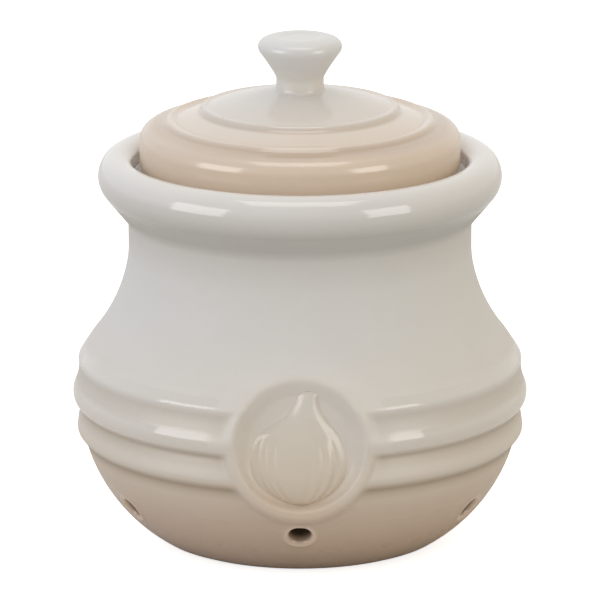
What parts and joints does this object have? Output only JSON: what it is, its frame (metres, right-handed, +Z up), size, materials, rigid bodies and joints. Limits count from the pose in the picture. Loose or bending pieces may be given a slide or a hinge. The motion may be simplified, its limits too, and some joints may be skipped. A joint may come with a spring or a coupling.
{
  "type": "garlic keeper",
  "caption": "Round glazed stoneware jar for keeping garlic, with air vents low in its wall, a garlic relief in a medallion, raised bands, and a domed lift-off lid with a knob.",
  "frame": {"origin": "centre of the foot, on the surface that the jar stands on", "axes": "+Z up along the jar's axis, -Y to the front where the medallion is, +X to the right of someone facing the front"},
  "size_m": [0.1304, 0.1293, 0.146],
  "materials": {
    "jar_glaze": "glossy glaze that fades from off-white at the rim to beige at the base, foot ring unglazed",
    "relief_glaze": "the jar's glossy glaze, pooled a little darker in the creases",
    "lid_glaze": "glossy glaze that fades from beige at the edge to off-white at the crown",
    "knob_glaze": "glossy off-white glaze"
  },
  "bodies": {
    "jar_body": {"jar": "jar_glaze", "garlic_relief": "relief_glaze"},
    "lid_body": {"lid": "lid_glaze", "lid_knob": "knob_glaze"}
  },
  "joints": [
    {"name": "lid_lift", "type": "slide", "parent": "jar_body", "child": "lid_body", "axis": [0, 0, 1], "range_m": [0, 0.06]}
  ]
}
